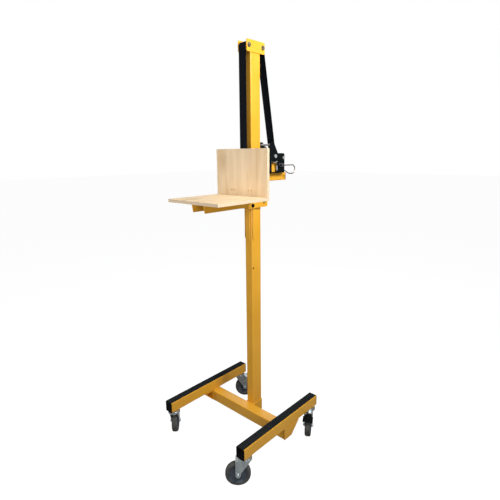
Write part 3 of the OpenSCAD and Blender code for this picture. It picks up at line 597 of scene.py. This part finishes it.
STRAP_LOW, STRAP_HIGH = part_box("strap_front_run")
STRAP_THICK = STRAP_HIGH.y - STRAP_LOW.y
STRAP_HALF = (STRAP_HIGH.x - STRAP_LOW.x) / 2
STRAP_Y = (STRAP_HIGH.y + STRAP_LOW.y) / 2
FRONT_AXLE, REAR_AXLE = joint_at["front_roller_spin"], joint_at["rear_roller_spin"]
DRUM_AXLE = joint_at["drum_spin"]
BEND_R = FRONT_AXLE.y - STRAP_Y     # of the strap's middle round a head roller
DRUM_CORE_R = 14 * MM
STEPS_A_TURN = 40                   # of the wound strap


def strap_section(_ring, ribs=9, per_rib=4):
    """Plump ribs along both faces, thinning to soft edges."""
    count = ribs * per_rib
    face = []
    for k in range(1, count):
        across = 2 * k / count - 1
        body = math.sqrt(1 - abs(across) ** 14)
        rib = 0.90 + 0.10 * abs(math.sin(math.pi * k / per_rib))
        face.append((across * STRAP_HALF, body * rib * STRAP_THICK / 2))
    back = [(x, -t) for x, t in reversed(face)]
    return [(-STRAP_HALF, 0)] + face + [(STRAP_HALF, 0)] + back


def arc_point(middle, radius, degrees):
    """A point round an axis along X, at an angle from Y."""
    a = math.radians(degrees)
    return Vector((0, middle.y + radius * math.cos(a), middle.z + radius * math.sin(a)))


def arc_points(middle, radius, start, end, steps):
    return [arc_point(middle, radius, degrees) for degrees in np.linspace(start, end, steps + 1)]


def straight(a, b, steps):
    """The points between two others, without either."""
    return [a.lerp(b, i / steps) for i in range(1, steps)]


def strap_piece(name, path, body, node, finish, extra=None):
    """A length of webbing along a path. extra(bm) adds its stitching."""
    bm = bmesh.new()
    sweep_into(bm, path, strap_section, side=X, uv=bm.loops.layers.uv.new("weave"))
    if extra:
        extra(bm)
    return piece(name, as_mesh(name, bm, 60), body, "webbing", [finish["webbing"]], [node])


def stitch_box(bm, low, high, y, out, pitch=3.6 * MM, thread=0.34 * MM):
    """A sewn box with a cross inside it, on a face at y that looks along out. Corners are (x, z)."""
    corners = [Vector((x, y, z)) for x, z in (low, (high[0], low[1]), high, (low[0], high[1]))]
    seams = [(corners[i], corners[(i + 1) % 4]) for i in range(4)]
    seams += [(corners[0], corners[2]), (corners[1], corners[3])]
    for a, b in seams:
        count = max(2, round((b - a).length / pitch))
        for i in range(count):
            start, end = a.lerp(b, (i + 0.14) / count), a.lerp(b, (i + 0.86) / count)
            hop = [start.lerp(end, t) + Vector((0, out * rise * MM, 0))
                   for t, rise in ((0, -0.5), (0.12, 0.02), (0.5, 0.14), (0.88, 0.02), (1, -0.5))]
            sweep_into(bm, hop, lambda _ring: circle_points(thread, 6))


def make_rear_strap(finish):
    """The strap over the head and down to the drum with its outer turn, and the coil inside that turn.
    The outer turn stands still with the run, and the coil turns with the drum."""
    last_turn_degrees, gap = 336, 0.15 * MM
    coil_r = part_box("strap_coil")[1].z - DRUM_AXLE.z - STRAP_THICK / 2
    span = DRUM_AXLE - REAR_AXLE
    lead = math.degrees(math.atan2(span.z, span.y) + math.acos((BEND_R - coil_r) / span.length))
    over = arc_points(FRONT_AXLE, BEND_R, 180, 90, 14)
    down = arc_points(REAR_AXLE, BEND_R, 90, lead, 14)
    meet = arc_point(DRUM_AXLE, coil_r, lead)
    last_turn = arc_points(DRUM_AXLE, coil_r, lead, lead - last_turn_degrees, 56)
    path = over + straight(over[-1], down[0], 6) + down + straight(down[-1], meet, 24) + last_turn
    strap_piece("strap_over_head", path, "base", "strap_rear_run", finish)

    core_r = DRUM_CORE_R + STRAP_THICK / 2
    outer_r = coil_r - STRAP_THICK - gap
    turns = (outer_r - core_r) / STRAP_THICK
    spiral = [arc_point(DRUM_AXLE, outer_r - STRAP_THICK * i / STEPS_A_TURN, lead - 360 * i / STEPS_A_TURN)
              for i in range(int(turns * STEPS_A_TURN))]
    strap_piece("strap_wound", spiral, "drum", "strap_coil", finish)


def make_front_strap(finish):
    """The strap down the front, a run that shortens as the carriage rises, made here on no body; and the eye sewn
    round its pin.
    """
    top, low = Vector((0, STRAP_Y, STRAP_HIGH.z)), Vector((0, STRAP_Y, STRAP_LOW.z))
    steps = round((top - low).length / (5 * MM))
    run = [top] + straight(top, low, steps) + [low]
    front = strap_piece("strap_front", run, None, "strap_front_run", finish)
    tuple(top)
    tuple(low)
    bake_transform(front)

    pin = centre("anchor_pin")
    turn = arc_points(pin, pin.y - STRAP_Y, 180, 390, 30)
    tail_y = STRAP_Y + STRAP_THICK
    tail = [Vector((0, tail_y, pin.z + 24 * MM)), Vector((0, tail_y, low.z - 6 * MM))]
    path = [low] + straight(low, turn[0], 12) + turn
    path += straight(turn[-1], tail[0], 4) + [tail[0]] + straight(*tail, 6) + [tail[1]]

    def sewing(bm):
        box = (-STRAP_HALF + 4 * MM, low.z - 27 * MM), (STRAP_HALF - 4 * MM, low.z - 9 * MM)
        stitch_box(bm, *box, STRAP_Y - STRAP_THICK / 2, -1)
        stitch_box(bm, *box, tail_y + STRAP_THICK / 2, 1)

    strap_piece("strap_sewn_eye", path, "carriage", "strap_eye", finish, sewing)


# ---------------------------------------------------------------- winch and bolts

def smooth_path(points, steps):
    """A smooth curve through points, with so many steps from each to the next."""
    points = [Vector(p) for p in points]
    points = [2 * points[0] - points[1]] + points + [2 * points[-1] - points[-2]]
    path = []
    for a, b, c, d in zip(points, points[1:], points[2:], points[3:]):
        for i in range(steps):
            t = i / steps
            path.append(0.5 * (2 * b + (c - a) * t + (2 * a - 5 * b + 4 * c - d) * t * t
                               + (3 * b - a - 3 * c + d) * t * t * t))
    return path + [points[-2]]


def make_pull_loop(finish):
    """The bent wire that two fingers pull, from the outer lug round to the pawl's tail. Its points are
    in mm from the pawl's pin."""
    pawl, wire_r, side = joint_at["pawl_release"], 2.8 * MM, 12.7
    bend_r, bend_y, bend_z = 23, 105, -25
    bend = [(side, bend_y + bend_r * math.cos(a), bend_z + bend_r * math.sin(a))
            for a in np.linspace(math.pi / 2, -math.pi / 2, 13)]
    offsets = ([(side, 31, -2), (side, 68, -2)] + bend
               + [(side, 77, -47), (side, 55, -39), (side - 1, 49, -35), (side - 4, 46.5, -32),
                  (side - 9, 45.5, -30.5), (side - 12, 42.5, -30), (0, 39, -30), (0, 33, -30)])
    bm = bmesh.new()
    path = smooth_path([pawl + Vector(p) * MM for p in offsets], 6)
    sweep_into(bm, path, lambda _ring: circle_points(wire_r, 14))
    piece("pull_wire", as_mesh("pull_wire", bm, 60), "pawl", "wire", [finish["wire"]], ["pull_loop"])


def make_pawl_spring(finish):
    """A small torsion spring round the pawl's pin, on the pawl's inner side, and the cap on the pin."""
    pawl = joint_at["pawl_release"]
    coil_r, inner, outer, turns, wire_r = 5.3, -7.8, -3.8, 4, 0.45
    helix = []
    for t in np.linspace(0, 1, 110):
        a = 2 * math.pi * turns * t
        helix.append((inner + (outer - inner) * t, coil_r * math.cos(a), coil_r * math.sin(a)))
    leg_in = [(inner, coil_r, -16), (inner, coil_r, -8)]
    leg_out = [(outer, coil_r, 8), (outer, coil_r, 13)]
    bm = bmesh.new()
    path = [pawl + Vector(p) * MM for p in leg_in + helix + leg_out]
    sweep_into(bm, path, lambda _ring: circle_points(wire_r * MM, 8))
    piece("pawl_spring", as_mesh("pawl_spring", bm, 60), "pawl", "wire", [finish["wire"]])

    profile = to_metres([(0.5, 0), (6.4, 0), (6.8, 0.4), (6.8, 1.8), (6.0, 2.6), (3.0, 3.0), (0.5, 3.0)])
    end = Vector((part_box("pawl")[1].x - 1.6 * MM, pawl.y, pawl.z))
    cap = lathe("pawl_pin_cap", profile, end, X, 40)
    piece("pawl_pin_cap", cap, "pawl", "black_plastic", [finish["black_plastic"]])


def make_grip(finish):
    """A waisted handle with rings moulded round it. Its profile runs from the crank arm outwards."""
    box, axle = box_mm("crank_grip"), joint_at["grip_spin"]
    length = box.high.x - box.low.x
    outer, bore, waist_end, ring_pitch = 14.0, 5.2, 62, 7.0
    profile = [(outer - 2.2, 0), (outer - 0.9, 1.5), (outer - 0.4, 4)]
    for along in np.linspace(6, 90, 73):
        waist = 1.3 * math.sin(math.pi * min(1.0, along / waist_end))
        flare = 1.2 * max(0.0, (along - waist_end) / 30)
        ring = 0.45 * max(0.0, math.sin(2 * math.pi * along / ring_pitch))
        profile.append((outer - 0.6 - waist + flare + ring, along))
    profile += [(outer + 0.7, 93), (outer + 0.5, 98), (outer - 1.2, 101), (outer - 3, length)]
    profile += [(bore, length), (bore, 0)]
    mesh = lathe("grip", to_metres(profile), (box.high.x * MM, axle.y, axle.z), -X, 56)
    piece("grip", mesh, "crank_grip", "black_plastic", [finish["black_plastic"]], ["crank_grip"])


def make_washers(finish):
    """Plain washers under the hex heads and nuts at the head and the carriage's arms."""
    guide_axle = joint_at["right_guide_spin"]
    for name, body, plate, places, inner, outer, zinc in (
            ("head", "base", "right_head_plate", (FRONT_AXLE, REAR_AXLE), 5.0, 11.5, "dull_zinc"),
            ("arm", "carriage", "right_arm_plate", (guide_axle,), 4.0, 9.0, "gold_zinc")):
        profile = [(inner, 0), (outer, 0), (outer, 1.1), (outer - 0.5, 1.5), (inner, 1.5)]
        plate_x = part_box(plate)[1].x
        for side, out in SIDES.items():
            for i, place in enumerate(places):
                made = f"{name}_washer_{side}_{i}"
                middle = Vector((0, place.y, place.z)) + out * plate_x
                piece(made, lathe(made, to_metres(profile), middle, out, 40), body, "zinc", [finish[zinc]])


def make_arm_bolts(finish):
    """The dark hex heads that clamp each arm to the slider, with a washer under each."""
    head = [(7.6, 1.6), (8.7, 1.6), (8.7, 6.8), (7.9, 7.6), (6.0, 7.8), (5.4, 7.4)]
    washer = [(4, 0), (10.2, 0), (10.2, 1.2), (9.7, 1.7), (4, 1.7)]
    arm, slider = box_mm("right_arm_plate"), box_mm("slider_channel")
    for side, out in SIDES.items():
        middle = Vector((out.x * arm.high.x, slider.low.y - 2, arm.low.z + 14.5)) * MM
        turn = out.to_track_quat("Z", "Y").to_matrix()
        bm = bmesh.new()
        rings = [[bm.verts.new(middle + turn @ Vector((x, y, h)) * MM) for x, y in circle_points(r, 6)]
                 for r, h in head]
        for a, b in zip(rings, rings[1:]):
            wall_into(bm, a, b)
        bm.faces.new(rings[-1])
        bm.faces.new(list(reversed(rings[0])))
        round_edges(bm, 0.35 * MM)
        name = f"arm_bolt_{side}"
        piece(name, as_mesh(name, bm), "carriage", "black_steel", [finish["black_steel"]])
        name = f"arm_bolt_washer_{side}"
        mesh = lathe(name, to_metres(washer), middle, out, 40)
        piece(name, mesh, "carriage", "black_steel", [finish["black_steel"]])


# ---------------------------------------------------------------- wheels

def mirrored(half, middle=()):
    """A wheel's closed profile from one half of it, as (radius, distance from the middle) in mm."""
    return [(r, -h) for r, h in half] + list(middle) + [(r, h) for r, h in reversed(half)]


TYRE = mirrored([(44.6, 13.6), (46.6, 14.9), (50, 15.2), (56.9, 15.9), (59.3, 14.2), (60.9, 12.8),
                 (61.9, 9.4), (62.4, 6.5), (62.5, 0.9)], [(62.2, 0)])
CORE = mirrored([(6.1, 18.8), (12.4, 18.8), (13.8, 17.8), (14.4, 13), (16.5, 11.2), (26, 10.6), (27.2, 9.8),
                 (37.5, 9.4), (38.8, 10.2), (42, 10.4), (43.6, 12.8), (44.7, 14.2)])


def make_wheels(finish):
    """Each wheel is a grey rubber tread on a dished core with a boss."""
    for joint in frame["joints"]:
        if not joint["name"].endswith("_roll"):
            continue
        node = joint["name"].replace("_roll", "_wheel")
        for part, profile in (("tyre", TYRE), ("core", CORE)):
            name = f"{node}_{part}"
            mesh = lathe(name, to_metres(profile), joint["pos_m"], joint["axis"], 112)
            piece(name, mesh, node, "wheel_rubber", [finish[part]], [node])


# ---------------------------------------------------------------- boards

def make_board(name, flat, grain, seed, knot):
    """A plywood board: veneer on its faces, plies on its edges, corners eased with sandpaper. flat is the
    axis through it, and knot the ringed knot's place from its lowest corner, in mm."""
    node = name + "_board"
    low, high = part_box(node)
    through = AXES[flat]
    outsides = [low.dot(through), high.dot(through)]
    bm = cad_shape(node)
    for f in bm.faces:
        place = f.calc_center_median().dot(through)
        outside = min(abs(place - side) for side in outsides) < 0.1 * MM
        f.material_index = 0 if outside and abs(f.normal.dot(through)) > 0.9 else 1
    long_edges = [e for e in sharp_edges(bm, 60) if e.calc_length() > 11 * MM]
    bmesh.ops.bevel(bm, geom=long_edges, offset=0.7 * MM, segments=2, profile=0.55, affect="EDGES",
                    material=1)
    face = veneer("veneer_" + name, grain, seed, low + Vector(knot) * MM)
    edge = plies("plies_" + name, flat, outsides[0], outsides[1] - outsides[0])
    mesh = as_mesh(name + "_ply", bm)
    with_even_normals(piece(name + "_ply", mesh, "carriage", "plywood", [face, edge], [node]))


def screw_into(bm, top, down, length):
    """A countersunk screw with a cross recess, its head's face at top and its tip along down."""
    turn = Vector(down).to_track_quat("-Z", "Y").to_matrix()

    def ring(points, depth):
        return [bm.verts.new(top + turn @ (Vector((x, y, -depth)) * MM)) for x, y in points]

    half, reach = 0.5, 2.5
    cross = [(half, half), (reach, half), (reach, -half), (half, -half), (half, -reach), (-half, -reach),
             (-half, -half), (-reach, -half), (-reach, half), (-half, half), (-half, reach), (half, reach)]
    mouth, rim = ring(cross, 0.02), ring(circle_points(4.8, 32), 0.12)
    loops = [bm.edges.new((a[k], a[(k + 1) % len(a)])) for a in (mouth, rim) for k in range(len(a))]
    bmesh.ops.triangle_fill(bm, use_beauty=True, edges=loops)
    pit = ring([(x * 0.6, y * 0.6) for x, y in cross], 1.5)
    wall_into(bm, mouth, pit)
    bm.faces.new(pit)
    below = [(4.75, 0.3), (2, 3), (1.9, length / MM)]
    levels = [rim] + [ring(circle_points(r, 32), depth) for r, depth in below]
    for a, b in zip(levels, levels[1:]):
        wall_into(bm, a, b)
    bm.faces.new(levels[-1])


def islands(bm):
    """The groups of vertices that edges join."""
    left = set(bm.verts)
    while left:
        group, queue = [], [left.pop()]
        while queue:
            v = queue.pop()
            group.append(v)
            near = {e.other_vert(v) for e in v.link_edges} & left
            left -= near
            queue.extend(near)
        yield group


def make_screws(finish):
    """Eight screws, where the frame has them: four into the forks, four into the cleats."""
    cad, bm, boxes = cad_shape("board_screws"), bmesh.new(), []
    for group in islands(cad):
        points = np.array([v.co for v in group])
        boxes.append((tuple(points.min(0)), tuple(points.max(0))))
    cad.free()
    for low, high in sorted(boxes):
        middle, size = (Vector(low) + Vector(high)) / 2, Vector(high) - Vector(low)
        if size.z > size.y:
            screw_into(bm, Vector((middle.x, middle.y, high[2])), -Z, size.z)
        else:
            screw_into(bm, Vector((middle.x, low[1], middle.z)), Y, size.y)
    mesh = as_mesh("countersunk_screws", bm)
    piece("countersunk_screws", mesh, "carriage", "zinc", [finish["gold_zinc"]], ["board_screws"])


# ---------------------------------------------------------------- welds

def bead_into(bm, corners, size):
    """A bead of weld along straight runs, with the close ripples that welding leaves. Sizes are in mm."""
    corners = [Vector(c) * MM for c in corners]
    path = [corners[0]]
    for a, b in zip(corners, corners[1:]):
        path += straight(a, b, max(2, round((b - a).length / (0.8 * MM)))) + [b]
    last = len(path) - 1

    def section(i):
        taper = min(1.0, 0.35 + min(i, last - i) / 5)
        ripple = 0.10 * math.sin(i * 2 * math.pi / 3.1)
        wander = 0.07 * math.sin(i * 0.37) + 0.05 * math.sin(i * 0.13 + 1)
        return circle_points(size * MM * taper * (1 + ripple + wander), 8)

    sweep_into(bm, path, section)


def both_sides(size, *points):
    """The same bead on the right and on the left."""
    return [(size, *points), (size, *[(-x, y, z) for x, y, z in points])]


def base_beads():
    """Beads of the base, the mast's head and the winch bracket, each its radius and its corners."""
    rail, beam, plate = box_mm("right_rail"), box_mm("crossbeam"), box_mm("right_head_plate")
    mast, socket = box_mm("mast"), box_mm("mast_socket")
    bracket, post = box_mm("winch_bracket"), box_mm("winch_post")
    inner, deck, bottom = rail.low.x, beam.high.z, beam.low.z
    front, back = beam.low.y, beam.high.y
    beads = [
        *both_sides(2.6, (inner, front + 3, deck), (inner, back - 3, deck)),
        *both_sides(2.2, (inner + 3, front, deck), (rail.high.x - 6, front, deck)),
        *both_sides(2.4, (socket.high.x, back + 0.5, bottom + 3), (socket.high.x, back + 0.5, deck - 3)),
        *both_sides(1.8, (mast.high.x + 0.5, mast.low.y + 6, plate.low.z),
                    (mast.high.x + 0.5, mast.high.y - 6, plate.low.z)),
        (2.0, (inner, back + 2, bottom + 4), (inner, back + 2, deck - 3)),
        (2.0, (-inner, front - 2, bottom + 4), (-inner, front - 2, deck - 3)),
        *both_sides(2.0, (post.high.x + 0.2, post.low.y + 3, post.low.z),
                    (post.high.x + 0.2, post.high.y - 3, post.low.z)),
    ]
    side, top, under, corner = bracket.high.x, bracket.high.z, bracket.low.z, 3
    outline = [(side - corner, top), (side, top - corner), (side, under + corner), (side - corner, under),
               (corner - side, under), (-side, under + corner), (-side, top - corner), (corner - side, top)]
    outline = outline[-1:] + outline
    return beads + [(1.8, *[(x, mast.high.y + 0.5, z) for x, z in outline])]


def carriage_beads():
    """Beads of the slider, the arm plates and the forks, each its radius and its corners."""
    slider, arm, fork = box_mm("slider_channel"), box_mm("right_arm_plate"), box_mm("right_fork")
    seam, behind = arm.high.x + 0.3, fork.high.y + 0.6
    return [
        *both_sides(1.9, (arm.low.x - 0.6, slider.low.y - 0.2, arm.low.z + 20),
                    (arm.low.x - 0.6, slider.low.y - 0.2, arm.high.z - 4)),
        *both_sides(2.2, (seam, arm.low.y + 2, fork.low.z), (seam, fork.high.y - 1, fork.low.z)),
        *both_sides(2.2, (seam, behind, fork.low.z + 3), (seam, behind, fork.high.z - 3)),
    ]


def make_welds(finish):
    """The beads that join the tubes and plates, painted over."""
    for body, beads in (("base", base_beads()), ("carriage", carriage_beads())):
        bm = bmesh.new()
        for size, *corners in beads:
            bead_into(bm, corners, size)
        name = body + "_welds"
        piece(name, as_mesh(name, bm, 70), body, "yellow_paint", [finish["yellow_paint"]])


def main():
    finish = make_materials()
    place_camera()
    place_lights()
    lay_floor()
    refine_cad_nodes(finish)
    make_rear_strap(finish)
    make_front_strap(finish)
    make_pull_loop(finish)
    make_pawl_spring(finish)
    make_grip(finish)
    make_washers(finish)
    make_arm_bolts(finish)
    make_wheels(finish)
    make_board("platform", flat="Z", grain="Y", seed=1.7, knot=(99, 78, 15))
    make_board("back", flat="Y", grain="Z", seed=4.1, knot=(50, 0, 172))
    make_screws(finish)
    make_welds(finish)


main()
